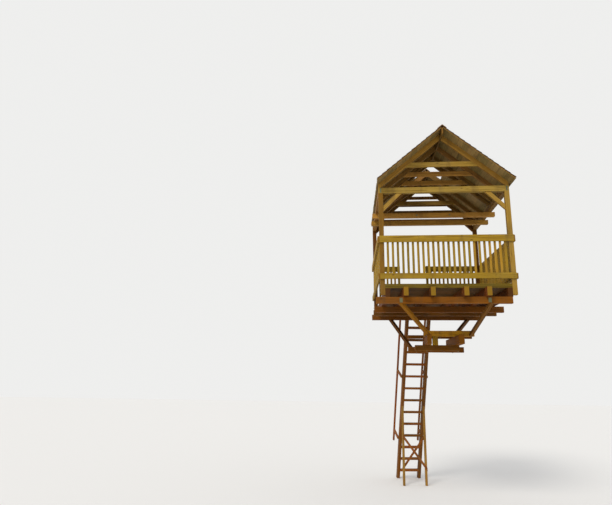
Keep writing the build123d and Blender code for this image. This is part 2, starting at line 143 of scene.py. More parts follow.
# %% Short forms of the nodes used most
def math_node(tree, operation, first, second=None, clamp=False):
    """A Math node whose inputs are sockets or numbers, and its result."""
    made = tree.nodes.new("ShaderNodeMath")
    made.operation = operation
    made.use_clamp = clamp
    for place, value in enumerate((first, second)):
        if value is None:
            continue
        if isinstance(value, (int, float)):
            made.inputs[place].default_value = value
        else:
            tree.links.new(value, made.inputs[place])
    return made.outputs[0]


def times(tree, first, second, clamp=False):
    """The product of two sockets or numbers."""
    return math_node(tree, "MULTIPLY", first, second, clamp)


def stretched(tree, vector, scale):
    """A vector multiplied by a fixed scale."""
    made = node(tree, "ShaderNodeVectorMath", operation="MULTIPLY")
    made.inputs[1].default_value = scale
    tree.links.new(vector, made.inputs[0])
    return made.outputs[0]


def noise_value(tree, vector, detail=3.0, roughness=0.55):
    """Noise of scale 1 on a vector that already carries its own scale."""
    made = node(tree, "ShaderNodeTexNoise", Scale=1.0, Detail=detail, Roughness=roughness)
    tree.links.new(vector, made.inputs["Vector"])
    return made.outputs["Fac"]


def remap(tree, value, low, high, to_low=0.0, to_high=1.0):
    """A clamped, smooth change of range."""
    made = node(tree, "ShaderNodeMapRange", interpolation_type="SMOOTHSTEP")
    for title, number in (("From Min", low), ("From Max", high), ("To Min", to_low), ("To Max", to_high)):
        made.inputs[title].default_value = number
    tree.links.new(value, made.inputs["Value"])
    return made.outputs["Result"]


def mix_colour(tree, factor, first, second, blend="MIX"):
    """A colour mix; factor and both colours are sockets or values."""
    made = node(tree, "ShaderNodeMix", data_type="RGBA", blend_type=blend)
    for title, value in ((0, factor), (6, first), (7, second)):
        if isinstance(value, bpy.types.NodeSocket):
            tree.links.new(value, made.inputs[title])
        else:
            made.inputs[title].default_value = value
    return made.outputs[2]


# %% [markdown]
# Sawn timber shows growth rings cut lengthwise, fine fibres, a few knots and drying cracks. The grain
# group reads coordinates that run along each timber, so rings bend into long arches on the faces and
# show as circles on the ends. Rings are a wave around an axis beside the timber, warped by slow noise.

# %% Open the grain group
grain_group, g_in, g_out = open_group(
    "sawn grain",
    [
        ("Along", "NodeSocketVector", (0, 0, 0)),
        ("Tone", "NodeSocketFloat", 0.5),
        ("Pale", "NodeSocketColor", (0.5, 0.3, 0.1, 1)),
        ("Dark", "NodeSocketColor", (0.2, 0.1, 0.03, 1)),
        ("Ring depth", "NodeSocketFloat", 0.5),
        ("Cracks", "NodeSocketFloat", 0.5),
    ],
    [("Color", "NodeSocketColor"), ("Height", "NodeSocketFloat")],
)
tree = grain_group

# %% Bend the grain and set knots in it
WARP_SCALE = (0.55, 4.0, 4.0)
WARP_REACH = (0.0, 0.05, 0.05)
KNOT_SCALE = (3.2, 11.0, 11.0)
KNOT_BULGE = (0.0, 0.022, 0.022)

warp = node(tree, "ShaderNodeTexNoise", Scale=1.0, Detail=2.0)
join(tree, (stretched(tree, g_in["Along"], WARP_SCALE), warp.inputs["Vector"]))
sway = stretched(tree, warp.outputs["Color"], WARP_REACH)
bent = node(tree, "ShaderNodeVectorMath", operation="ADD")
join(tree, (g_in["Along"], bent.inputs[0]), (sway, bent.inputs[1]))
knots = node(tree, "ShaderNodeTexVoronoi", Scale=1.0, Randomness=1.0)
join(tree, (stretched(tree, bent.outputs[0], KNOT_SCALE), knots.inputs["Vector"]))
# Only about one cell in four holds a knot
knot_pick = node(tree, "ShaderNodeSeparateColor")
join(tree, (knots.outputs["Color"], knot_pick.inputs[0]))
knot_here = remap(tree, knot_pick.outputs[0], 0.70, 0.74)
knot_near = times(tree, remap(tree, knots.outputs["Distance"], 0.42, 0.05), knot_here)
knot_core = times(tree, remap(tree, knots.outputs["Distance"], 0.15, 0.09), knot_here)
bulge = node(tree, "ShaderNodeVectorMath", operation="SCALE")
bulge.inputs[0].default_value = KNOT_BULGE
join(tree, (knot_near, bulge.inputs["Scale"]))
ring_place = node(tree, "ShaderNodeVectorMath", operation="ADD")
join(tree, (bent.outputs[0], ring_place.inputs[0]), (bulge.outputs[0], ring_place.inputs[1]))

# %% Rings, fibres and cracks
RING_SPACING = 0.0075
# A wave texture of scale 1 repeats at this length
WAVE_PERIOD = 0.3142
FIBRE_SCALE = (5.0, 210.0, 210.0)
BROAD_SCALE = (1.4, 16.0, 16.0)
CRACK_SCALE = (1.1, 34.0, 34.0)

rings = node(
    tree, "ShaderNodeTexWave",
    wave_type="RINGS", rings_direction="X", Scale=WAVE_PERIOD / RING_SPACING, Distortion=0.0,
)
join(tree, (ring_place.outputs[0], rings.inputs["Vector"]))
late_wood = remap(tree, rings.outputs["Fac"], 0.35, 1.0)
fibre = noise_value(tree, stretched(tree, bent.outputs[0], FIBRE_SCALE), detail=4.0, roughness=0.6)
broad = noise_value(tree, stretched(tree, bent.outputs[0], BROAD_SCALE), detail=3.0)
crack_noise = noise_value(tree, stretched(tree, bent.outputs[0], CRACK_SCALE), detail=1.0, roughness=0.4)
# A crack is the thin line where the noise crosses its middle value
off_crack = math_node(tree, "ABSOLUTE", math_node(tree, "SUBTRACT", crack_noise, 0.5))
crack_line = remap(tree, off_crack, 0.010, 0.003)
crack_field = remap(tree, broad, 0.50, 0.62)
crack = times(tree, times(tree, crack_line, crack_field), g_in["Cracks"], clamp=True)

# %% Colour and relief of the grain
KNOT_COLOUR = (0.035, 0.014, 0.006, 1)
CRACK_COLOUR = (0.012, 0.007, 0.004, 1)

depth = math_node(
    tree, "ADD",
    times(tree, late_wood, g_in["Ring depth"]),
    times(tree, remap(tree, fibre, 0.3, 0.75), 0.34), clamp=True,
)
depth = math_node(tree, "ADD", depth, remap(tree, broad, 0.35, 0.75, -0.12, 0.22), clamp=True)
wood = mix_colour(tree, depth, g_in["Pale"], g_in["Dark"])
shade = node(tree, "ShaderNodeHueSaturation")
join(
    tree,
    (wood, shade.inputs["Color"]),
    (remap(tree, g_in["Tone"], 0.0, 1.0, 0.78, 1.24), shade.inputs["Value"]),
    (remap(tree, g_in["Tone"], 1.0, 0.0, 0.492, 0.508), shade.inputs["Hue"]),
)
knotted = mix_colour(tree, times(tree, knot_core, 0.75), shade.outputs[0], KNOT_COLOUR)
cracked = mix_colour(tree, times(tree, crack, 0.85), knotted, CRACK_COLOUR)
relief = math_node(tree, "ADD", times(tree, fibre, 0.5), times(tree, late_wood, 0.35))
relief = math_node(tree, "SUBTRACT", relief, times(tree, crack, 2.2))
join(tree, (cracked, g_out["Color"]), (relief, g_out["Height"]))
print(grain_group.name, len(grain_group.nodes), "nodes")

# %% [markdown]
# Weather greys the faces that look up, leaves a green film where water lingers and streaks the wood
# with damp. The same group paints shade on the undersides of the floor, by darkening faces that look
# down. The group mixes those over any wood colour. Worn edges come from a mark that the modelling step
# leaves on the rounded corners, so they stay exactly where hands and ropes would rub.

# %% Open the weather and painted shade group
weather_and_shade_group, w_in, w_out = open_group(
    "weather_and_shade",
    [
        ("Color", "NodeSocketColor", (0.5, 0.5, 0.5, 1)),
        ("Place", "NodeSocketVector", (0, 0, 0)),
        ("Grey", "NodeSocketFloat", 0.3),
        ("Green", "NodeSocketFloat", 0.2),
        ("Worn", "NodeSocketFloat", 0.0),
        ("Ends", "NodeSocketFloat", 0.0),
        # Under sets how much painted shade falls on faces that look down
        ("Under", "NodeSocketFloat", 0.0),
        ("End tint", "NodeSocketColor", (0.20, 0.115, 0.05, 1)),
    ],
    [("Color", "NodeSocketColor"), ("Roughness", "NodeSocketFloat")],
)
tree = weather_and_shade_group

# %% Where the weather works, and where shade is painted
PATCH_SCALE = (2.3, 2.3, 2.3)
SPECK_SCALE = (38.0, 38.0, 38.0)
STREAK_SCALE = (5.0, 5.0, 1.1)

facing = node(tree, "ShaderNodeNewGeometry")
facing_parts = node(tree, "ShaderNodeSeparateXYZ")
join(tree, (facing.outputs["Normal"], facing_parts.inputs[0]))
upward = facing_parts.outputs["Z"]
looks_up = remap(tree, upward, 0.0, 0.8)
# Painted shade goes on the faces that look down
painted_shade_mask = remap(tree, upward, -0.1, -0.7)
patches = noise_value(tree, stretched(tree, w_in["Place"], PATCH_SCALE), detail=6.0, roughness=0.62)
specks = noise_value(tree, stretched(tree, w_in["Place"], SPECK_SCALE), detail=3.0)
streaks = noise_value(tree, stretched(tree, w_in["Place"], STREAK_SCALE), detail=5.0)
greying = math_node(
    tree, "ADD", times(tree, looks_up, 0.75), remap(tree, patches, 0.42, 0.68, 0.0, 0.6)
)
grey_mask = times(tree, greying, w_in["Grey"], clamp=True)
damp = times(tree, remap(tree, patches, 0.47, 0.62), remap(tree, upward, -0.2, 0.6, 0.2, 1.0))
film = times(tree, damp, remap(tree, specks, 0.38, 0.62))
film = times(tree, film, w_in["Green"], clamp=True)

# %% Colour and roughness of weathered wood, with painted shade
WEATHERED_GREY = (0.19, 0.155, 0.10, 1)
FILM_GREEN = (0.105, 0.125, 0.035, 1)
DAMP_BROWN = (0.07, 0.035, 0.015, 1)
# These two multiply the colour under them: one lightens rubbed wear, the other is painted shade on
# undersides
RUBBED = (1.45, 1.42, 1.35, 1)
PAINTED_UNDERSIDE_SHADE = (0.36, 0.33, 0.28, 1)

greyed = mix_colour(tree, grey_mask, w_in["Color"], WEATHERED_GREY)
filmed = mix_colour(tree, film, greyed, FILM_GREEN)
stained = mix_colour(tree, remap(tree, streaks, 0.50, 0.74, 0.0, 0.42), filmed, DAMP_BROWN)
lighter = mix_colour(tree, 1.0, stained, RUBBED, blend="MULTIPLY")
rubbed = mix_colour(tree, times(tree, w_in["Worn"], 0.8), stained, lighter)
ended = mix_colour(tree, times(tree, w_in["Ends"], 0.7), rubbed, w_in["End tint"])
painted_shade_colour = mix_colour(tree, 1.0, ended, PAINTED_UNDERSIDE_SHADE, blend="MULTIPLY")
# Painted shade: faces that look down are darkened by as much as Under asks
weathered_and_shaded = mix_colour(tree, times(tree, painted_shade_mask, w_in["Under"]), ended, painted_shade_colour)
rough = math_node(tree, "ADD", times(tree, grey_mask, 0.25), 0.56)
rough = math_node(tree, "ADD", rough, times(tree, specks, 0.18), clamp=True)
join(tree, (weathered_and_shaded, w_out["Color"]), (rough, w_out["Roughness"]))
print(weather_and_shade_group.name, len(weather_and_shade_group.nodes), "nodes")

# %% [markdown]
# ## Timber materials
#
# The house has many stains: honey-coloured front posts and railings, an ochre beam on the collar,
# russet beams, a brown roof frame and a reddish ladder. Some of the colours are painted light and
# shade: the dark maroon of the timbers under the platform and at the back, the darker brown of the
# roof frame behind the front rafters, the browner honey of the left front post and the dark ends of
# the edge joists are painted shade, and the pale tan of the ladder legs is painted light. They differ
# only in their colours, in how weathered they are and in how much painted shade their undersides get,
# so one function makes them all from the two groups. The grain reads an attribute that the modelling
# step writes along each timber, and the weather reads Object coordinates, which cross from one piece
# to the next.

# %% Colours, attributes and new materials
def seen(red, green, blue):
    """A shader colour from the 0 to 255 values that it shows as."""
    parts = (red / 255, green / 255, blue / 255)
    linear = (part / 12.92 if part <= 0.04045 else ((part + 0.055) / 1.055) ** 2.4 for part in parts)
    return (*linear, 1)


def attribute(tree, name):
    """An Attribute node for a value that the mesh carries."""
    return node(tree, "ShaderNodeAttribute", attribute_name=name)


def open_material(name):
    """A new material with its node tree and its shader."""
    material = bpy.data.materials.new(name)
    material.use_nodes = True
    return material, material.node_tree, material.node_tree.nodes["Principled BSDF"]


# %% A timber finish
TIMBER_SPECULAR = 0.10
GRAIN_BUMP = 0.7


def timber_material(
    name, pale, dark, rings=0.5, cracks=0.5, grey=0.3, green=0.2, relief=0.0011, cut=(128, 88, 34),
    painted_shade_under=0.0,
):
    """A sawn timber finish between a pale and a dark wood colour, with the colour of its cut ends and
    painted shade on faces that look down.
    """
    material, tree, shader = open_material(name)
    shader.inputs["Specular IOR Level"].default_value = TIMBER_SPECULAR
    grain = node(
        tree, "ShaderNodeGroup", node_tree=grain_group,
        Pale=seen(*pale), Dark=seen(*dark), Ring_depth=rings, Cracks=cracks,
    )
    weather_and_shade = node(
        tree, "ShaderNodeGroup", node_tree=weather_and_shade_group,
        Grey=grey, Green=green, Under=painted_shade_under, End_tint=seen(*cut),
    )
    place = node(tree, "ShaderNodeTexCoord")
    bump = node(tree, "ShaderNodeBump", Strength=GRAIN_BUMP, Distance=relief)
    join(
        tree,
        (attribute(tree, "along").outputs["Vector"], grain.inputs["Along"]),
        (attribute(tree, "tone").outputs["Fac"], grain.inputs["Tone"]),
        (grain.outputs["Color"], weather_and_shade.inputs["Color"]),
        (place.outputs["Object"], weather_and_shade.inputs["Place"]),
        (attribute(tree, "worn").outputs["Fac"], weather_and_shade.inputs["Worn"]),
        (attribute(tree, "ends").outputs["Fac"], weather_and_shade.inputs["Ends"]),
        (weather_and_shade.outputs["Color"], shader.inputs["Base Color"]),
        (weather_and_shade.outputs["Roughness"], shader.inputs["Roughness"]),
        (grain.outputs["Height"], bump.inputs["Height"]),
        (bump.outputs["Normal"], shader.inputs["Normal"]),
    )
    return material


# %% The stains
honey = timber_material("honey timber", (154, 124, 50), (110, 84, 24), grey=0.15, green=0.25)
pale_honey = timber_material("front tie beam", (154, 127, 54), (112, 88, 28), grey=0.12, green=0.2)
# Painted shade: the left front post gets a browner, darker honey than the right one
honey_painted_shade = timber_material("left front post painted shade", (136, 96, 30), (96, 64, 14), grey=0.12, green=0.3)
rail_honey = timber_material("honey rails", (162, 128, 38), (114, 84, 16), grey=0.15, green=0.3)
edge_olive = timber_material("deck edge", (116, 92, 22), (78, 60, 10), grey=0.12, green=0.3)
ochre = timber_material("ochre beam", (190, 140, 22), (138, 96, 10), cracks=0.8, grey=0.1, green=0.15)
russet = timber_material(
    "russet timber", (130, 76, 8), (82, 43, 3), cracks=0.9, grey=0.1, green=0.15, cut=(124, 76, 8),
)
# Painted shade: this dark maroon stands for the shade under the platform and at the back
maroon_painted_shade = timber_material("maroon timber painted shade", (116, 68, 12), (74, 41, 5), cracks=0.9, grey=0.1, green=0.08)
joist_maroon = timber_material(
    "joists", (110, 60, 14), (70, 35, 8), grey=0.1, green=0.1, cut=(144, 112, 26), painted_shade_under=0.5,
)
# Painted shade: the edge joists are darker than the inner ones, with dark ends
edge_maroon_painted_shade = timber_material(
    "edge joists painted shade", (96, 54, 14), (62, 32, 8), grey=0.1, green=0.1, cut=(64, 40, 12), painted_shade_under=0.5,
)
strut_orange = timber_material("strut timber", (156, 100, 0), (108, 63, 0), cracks=0.7, grey=0.03)
strut_tan = timber_material("reddish strut timber", (110, 74, 12), (72, 44, 5), cracks=0.7, grey=0.08)
rafter_orange = timber_material("front rafters", (164, 122, 48), (112, 78, 26), grey=0.08, green=0.05)
tie_tan = timber_material("roof ties", (162, 122, 52), (112, 80, 30), grey=0.08, green=0.05)
# Painted shade: the roof frame behind the front rafters is browner and darker than they are
roof_brown_painted_shade = timber_material("roof timber painted shade", (138, 102, 46), (90, 62, 26), grey=0.06, green=0.03)
sheathing_brown = timber_material("roof sheathing", (152, 128, 76), (106, 86, 50), grey=0.06, green=0.1)
tie_brown = timber_material(
    "ties round the trunk", (172, 130, 52), (124, 86, 30), grey=0.12, green=0.05, cut=(88, 54, 18),
)
deck_brown = timber_material(
    "deck boards", (150, 108, 48), (98, 64, 24), grey=0.45, green=0.25, painted_shade_under=1.0,
)
ladder_russet = timber_material("ladder timber", (134, 78, 22), (86, 45, 11), cracks=0.8, grey=0.2)
# Painted light: the ladder legs get a paler tan than the rest of the ladder, standing for their lit sides
ladder_painted_light = timber_material("ladder timber painted light", (160, 118, 46), (112, 74, 24), cracks=0.8, grey=0.2)
print("timber materials:", len(bpy.data.materials))

# %% [markdown]
# ## From solids to timbers
#
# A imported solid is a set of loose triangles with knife-sharp corners. The helpers below weld a copy,
# remove the flat edges between triangles, round the corners with a bevel, and cut long timbers across
# so that they can wander a little, as real sawn wood does. Then they write what the materials read:
# coordinates along the timber, a shade for each timber, and marks on worn edges and ends.

# %% Find the timbers in a mesh
# A direction that no timber is square to, so that all get their first axis on the same side of it
HEADING = Vector((0.3, 0.5, 0.8))


def separate_timbers(bm):
    """The faces of each timber in the mesh, in a fixed order."""
    for face in bm.faces:
        face.tag = False
    timbers = []
    for face in bm.faces:
        if face.tag:
            continue
        face.tag = True
        group = [face]
        for member in group:
            for edge in member.edges:
                for neighbour in edge.link_faces:
                    if not neighbour.tag:
                        neighbour.tag = True
                        group.append(neighbour)
        timbers.append(group)
    return timbers


def middle_of(faces):
    """The mean of the faces' middles."""
    return sum((face.calc_center_median() for face in faces), Vector()) / len(faces)


def timber_frame(faces):
    """A matrix whose first axis runs along a timber and whose third is across its thickness."""
    longest = max((edge for face in faces for edge in face.edges), key=lambda e: e.calc_length())
    along = (longest.verts[1].co - longest.verts[0].co).normalized()
    if along.dot(HEADING) < 0:
        along = -along
    side_faces = [face for face in faces if abs(face.normal.dot(along)) < 0.5]
    widest = max(side_faces, key=lambda f: f.calc_area())
    through = (widest.normal - along * widest.normal.dot(along)).normalized()
    across = through.cross(along)
    middle = middle_of(faces)
    return Matrix((
        (along.x, across.x, through.x, middle.x),
        (along.y, across.y, through.y, middle.y),
        (along.z, across.z, through.z, middle.z),
        (0, 0, 0, 1),
    ))


# %% Cut and bend a timber
CUT_EVERY = 0.40
CUT_TOLERANCE = 1e-6
STRAIGHT_END = 0.18
WANDER_RATE = 1.3
# Without a seed this noise follows the clock
noise.seed_set(41)


def verts_in(geometry):
    """The vertices in a list of mixed mesh elements."""
    return [item for item in geometry if isinstance(item, bmesh.types.BMVert)]


def cut_and_bend(bm, faces, matrix, seed, wander):
    """Cuts a long timber across and lets it wander between its ends."""
    back = matrix.inverted()
    verts = {vert: None for face in faces for vert in face.verts}
    reach = [(back @ vert.co).x for vert in verts]
    low, high = min(reach), max(reach)
    count = int((high - low) / CUT_EVERY)
    if count < 2:
        return
    along = matrix.col[0].xyz
    geometry = [*verts, *{edge: None for face in faces for edge in face.edges}, *faces]
    for i in range(1, count + 1):
        place = matrix.col[3].xyz + along * (low + (high - low) * i / (count + 1))
        cut = bmesh.ops.bisect_plane(
            bm, geom=geometry, dist=CUT_TOLERANCE, plane_co=place, plane_no=along
        )
        geometry = cut["geom"]
    for vert in verts_in(geometry):
        x = (back @ vert.co).x
        ease = max(0.0, min(1.0, (x - low) / STRAIGHT_END, (high - x) / STRAIGHT_END))
        push = noise.noise_vector(Vector((x * WANDER_RATE + seed, seed * 0.37, 2.0)))
        vert.co += (push - along * push.dot(along)) * wander * ease


# %% Finish the timbers
ARRIS = 0.004
WANDER = 0.0022
WELD_DISTANCE = 1e-5
FLAT = math.radians(0.5)
SHARP = math.radians(25)
# Where the heart of the log may lie from a timber's middle: along it, aside from it, and behind it
HEART_ALONG = 30
HEART_ASIDE = 0.12
HEART_BEHIND = (0.05, 0.14)
SEED_STEP = 7.3
TONE_MEAN = 0.5
TONE_SPREAD = 0.24
shades = random.Random(41)


def finish_timbers(bm, name, material, stands_for=(), arris=ARRIS, wander=WANDER, segments=2):
    """Rounds, bends and marks every timber in a mesh, and makes it a piece of the house."""
    bmesh.ops.remove_doubles(bm, verts=bm.verts, dist=WELD_DISTANCE)
    bmesh.ops.dissolve_limit(bm, angle_limit=FLAT, verts=bm.verts, edges=bm.edges)
    bmesh.ops.recalc_face_normals(bm, faces=bm.faces)
    number = bm.faces.layers.int.new("timber")
    ends = bm.faces.layers.float.new("ends")
    worn = bm.faces.layers.float.new("worn")
    frames = []
    for i, faces in enumerate(separate_timbers(bm)):
        matrix = timber_frame(faces)
        frames.append(matrix)
        for face in faces:
            face[number] = i
            face[ends] = 1.0 if abs(face.normal.dot(matrix.col[0].xyz)) > 0.5 else 0.0
    sharp = [edge for edge in bm.edges if edge.calc_face_angle(0) > SHARP]
    rounded = bmesh.ops.bevel(
        bm, geom=sharp, offset=arris, segments=segments, profile=0.5,
        affect="EDGES", material=-1, clamp_overlap=True,
    )
    for face in rounded["faces"]:
        face[worn] = 1.0
    groups = {i: [] for i in range(len(frames))}
    for face in bm.faces:
        groups[face[number]].append(face)
    if wander:
        for i, faces in groups.items():
            cut_and_bend(bm, faces, frames[i], i * SEED_STEP + len(name), wander)
    along = bm.loops.layers.float_vector.new("along")
    tone = bm.faces.layers.float.new("tone")
    backs = [matrix.inverted() for matrix in frames]
    heart = [
        Vector((
            shades.uniform(-HEART_ALONG, HEART_ALONG),
            shades.uniform(-HEART_ASIDE, HEART_ASIDE),
            shades.uniform(*HEART_BEHIND),
        ))
        for _ in frames
    ]
    lightness = [min(1.0, max(0.0, shades.gauss(TONE_MEAN, TONE_SPREAD))) for _ in frames]
    for face in bm.faces:
        i = face[number]
        face[tone] = lightness[i]
        for loop in face.loops:
            loop[along] = backs[i] @ loop.vert.co + heart[i]
    bm.faces.layers.int.remove(number)
    as_piece(bm, name, material, stands_for)


# %% Make a piece
def as_piece(bm, name, material, stands_for=()):
    """Turns a finished mesh into an object that rides on the house."""
    mesh = bpy.data.meshes.new(name)
    bm.to_mesh(mesh)
    bm.free()
    mesh.materials.append(material)
    piece = add_object(name, mesh)
    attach(piece, "root")
    if stands_for:
        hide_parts(*stands_for)
    print(name, len(mesh.polygons), "faces")


# %% [markdown]
# Beams, posts, struts, rafters and the ladder keep the shape of their solids, so each is a copy of
# its own node, dressed as above. The colours differ from place to place: the front posts, the front
# tie beam and the railings are honey-coloured and the upper front collar beam is ochre. The dark
# maroon of the timbers under the platform and at the back, the darker brown of the roof frame and the
# browner honey of the left front post are painted shade, and the pale tan of the ladder legs is
# painted light. Each row of the table gives a slot, a material and the nodes that have them.

# %% Dress the plain timbers
SOLID_TIMBERS = (
    ("collar_timber", ochre, ("collar_upper_front", "collar_blocks")),
    ("collar_timber", russet, (
        "collar_lower_front", "collar_left", "collar_right", "collar_lower_back", "collar_upper_back",
    )),
    ("strut_timber", strut_orange, ("strut_front_left",)),
    ("strut_timber", strut_tan, ("strut_front_right",)),
    ("strut_timber", maroon_painted_shade, ("strut_back_left", "strut_back_right")),
    ("platform_timber", russet, ("platform_beam_front",)),
    ("platform_timber", maroon_painted_shade, ("platform_beams_trunk", "platform_beam_back")),
    ("light_timber", honey, ("post_front_right", "entrance_newels")),
    ("light_timber", pale_honey, ("tie_beam_front",)),
    ("light_timber", honey_painted_shade, ("post_front_left",)),
    ("light_timber", edge_olive, ("deck_edge_front",)),
    ("light_timber", maroon_painted_shade, ("post_back_left", "post_back_right")),
    ("roof_timber", tie_brown, ("tie_beams_trunk",)),
    ("roof_timber", roof_brown_painted_shade, ("wall_plates", "tie_beam_back", "ridge_board", "back_gable_boards")),
    ("ladder_timber", ladder_russet, (
        "ladder_rail_left", "ladder_rail_right", "ladder_treads", "ladder_cross_braces", "handrails",
        "handrail_posts",
    )),
    ("ladder_timber", ladder_painted_light, ("ladder_legs",)),
)


def copy_of(node_name):
    """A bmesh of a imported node."""
    bm = bmesh.new()
    bm.from_mesh(nodes[node_name].data)
    return bm


for slot_name, stain_and_shade, members in SOLID_TIMBERS:
    for member in members:
        finish_timbers(copy_of(member), member + "_sawn", stain_and_shade, [member])

# %% [markdown]
# Four nodes hold timbers of two colours: the first pair of rafters, the first roof tie and the front
# knee braces are lighter than those behind them, and the joists at the edges have dark ends. The
# darker rafters and knee braces behind and the dark ends of the edge joists are painted shade. Each
# node becomes two pieces, one with the timbers whose middles pass a test and one with the rest.

# %% Dress the nodes whose timbers have two colours
FRONT_LINE = -1.4
EDGE_LINE = 1.2


def in_front(middle):
    """Whether a timber belongs to the front frame."""
    return middle.y < FRONT_LINE


def at_edge(middle):
    """Whether a joist runs along an edge of the platform."""
    return abs(middle.x) > EDGE_LINE


TWO_STAINS_AND_SHADES = (
    ("rafters", "roof_timber", in_front, (("front", rafter_orange), ("behind", roof_brown_painted_shade))),
    ("roof_ties", "roof_timber", in_front, (("front", honey), ("behind", tie_tan))),
    ("knee_braces", "light_timber", in_front, (("front", honey), ("behind", maroon_painted_shade))),
    ("floor_joists", "platform_timber", at_edge, (("edge", edge_maroon_painted_shade), ("inner", joist_maroon))),
)


def part_of(node_name, test, wanted):
    """The timbers of a node whose middles pass a test, or those whose middles don't."""
    bm = copy_of(node_name)
    bmesh.ops.remove_doubles(bm, verts=bm.verts, dist=WELD_DISTANCE)
    unwanted = []
    for faces in separate_timbers(bm):
        if test(middle_of(faces)) != wanted:
            unwanted += faces
    bmesh.ops.delete(bm, geom=unwanted, context="FACES")
    return bm


for node_name, slot_name, test, halves in TWO_STAINS_AND_SHADES:
    for wanted, (ending, stain_and_shade) in zip((True, False), halves):
        finish_timbers(
            part_of(node_name, test, wanted), node_name + "_" + ending, stain_and_shade, [node_name]
        )

# %% [markdown]
# ## Railings
#
# A railing is two long boards nailed to the outsides of the posts, with a row of slim upright slats
# on their inner faces. The solid is one fused panel, which could only have one grain, so the boards
# are built again one by one from cubes, at the same places.

# %% A board from a cube
def add_board(bm, low, high, matrix=None):
    """A board between two corners, in the space of a matrix."""
    low, high = Vector(low), Vector(high)
    place = Matrix.Translation((low + high) / 2) @ Matrix.Diagonal((*(high - low), 1))
    if matrix is not None:
        place = matrix @ place
    return bmesh.ops.create_cube(bm, size=1, matrix=place)["verts"]


# %% Places of the railings
RAIL_THICK = 0.040
BOTTOM_RAIL_HIGH = 0.120
TOP_RAIL_HIGH = 0.145
SLAT_WIDE = 0.048
SLAT_THICK = 0.024
SLAT_PITCH = 0.109
SLAT_LAP = 0.060

post_low, post_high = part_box("post_front_left")
post_side = post_high.x - post_low.x
post_out = -post_low.x
post_in = -post_high.x
front_face = post_low.y
back_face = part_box("post_back_left")[1].y
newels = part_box("entrance_newels")
newel_side = newels[1].y - newels[0].y
entrance_left = newels[0].x + newel_side
entrance_right = newels[1].x - newel_side
rail_low, rail_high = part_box("front_railing")
print("posts", round(post_side, 3), "entrance", round(entrance_right - entrance_left, 3))


# %% Build the railings
def railing(name, corner, direction, outward, start, finish, inner_start, inner_finish):
    """A railing on the plane through a corner; distances run along its direction."""
    bm = bmesh.new()
    matrix = Matrix((
        (direction[0], outward[0], 0, corner[0]),
        (direction[1], outward[1], 0, corner[1]),
        (0, 0, 1, 0),
        (0, 0, 0, 1),
    ))
    for bottom, top in (
        (rail_low.z, rail_low.z + BOTTOM_RAIL_HIGH),
        (rail_high.z - TOP_RAIL_HIGH, rail_high.z),
    ):
        add_board(bm, (start, 0, bottom), (finish, RAIL_THICK, top), matrix)
    slats = max(1, math.ceil((inner_finish - inner_start) / SLAT_PITCH) - 1)
    step = (inner_finish - inner_start - SLAT_WIDE) / slats
    inset = (inner_finish - inner_start - step * (slats - 1)) / 2
    slat_bottom = rail_low.z + BOTTOM_RAIL_HIGH - SLAT_LAP
    slat_top = rail_high.z - TOP_RAIL_HIGH + SLAT_LAP
    for i in range(slats):
        middle = inner_start + inset + i * step
        add_board(
            bm, (middle - SLAT_WIDE / 2, -SLAT_THICK, slat_bottom),
            (middle + SLAT_WIDE / 2, 0, slat_top), matrix,
        )
    print(name, slats, "slats")
    finish_timbers(bm, name + "_boards", rail_honey, [name], arris=0.0025, wander=0.0016)


side_start = front_face + post_side
side_finish = back_face - post_side
railing("front_railing", (0, front_face), (1, 0), (0, -1), -post_out, post_out, -post_in, post_in)
railing("left_railing", (-post_out, 0), (0, 1), (-1, 0), front_face, back_face, side_start, side_finish)
railing("right_railing", (post_out, 0), (0, 1), (1, 0), front_face, back_face, side_start, side_finish)
railing(
    "back_railing_left", (0, back_face), (1, 0), (0, 1),
    -post_out, entrance_left, -post_in, entrance_left - newel_side,
)
railing(
    "back_railing_right", (0, back_face), (1, 0), (0, 1),
    entrance_right, post_out, entrance_right + newel_side, post_in,
)

# %% [markdown]
# ## Deck
#
# The floor is laid in boards from side to side, a few millimetres apart, sawn round a wide hole.
# Every board near the hole is made as a left and a right piece, whose inner ends are cut across
# several times so that their corners can be moved onto the circle.

# %% Lay the deck
BOARD_GAP = 0.005
DECK_BOARDS = 26
END_CUTS = 4
# How far back the middle of the hole is
HOLE_MIDDLE = 0.275
DECK_HOLE_RADIUS = 0.340

deck_low, deck_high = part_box("floor_deck")
board_step = (deck_high.y - deck_low.y) / DECK_BOARDS


def board_beside_hole(bm, side, near, far):
    """A board on one side of the hole, with its inner end on the circle."""
    verts = add_board(
        bm,
        (min(0, side * deck_high.x), near, deck_low.z),
        (max(0, side * deck_high.x), far, deck_high.z),
    )
    shape = [
        *verts,
        *dict.fromkeys(edge for vert in verts for edge in vert.link_edges),
        *dict.fromkeys(face for vert in verts for face in vert.link_faces),
    ]
    for i in range(1, END_CUTS + 1):
        place = (0, near + (far - near) * i / (END_CUTS + 1), 0)
        cut = bmesh.ops.bisect_plane(
            bm, geom=shape, dist=CUT_TOLERANCE, plane_co=place, plane_no=(0, 1, 0)
        )
        shape = cut["geom"]
    for vert in verts_in(shape):
        if abs(vert.co.x) < BOARD_GAP:
            inside = DECK_HOLE_RADIUS ** 2 - (vert.co.y - HOLE_MIDDLE) ** 2
            vert.co.x = side * max(BOARD_GAP / 2, math.sqrt(max(0.0, inside)))


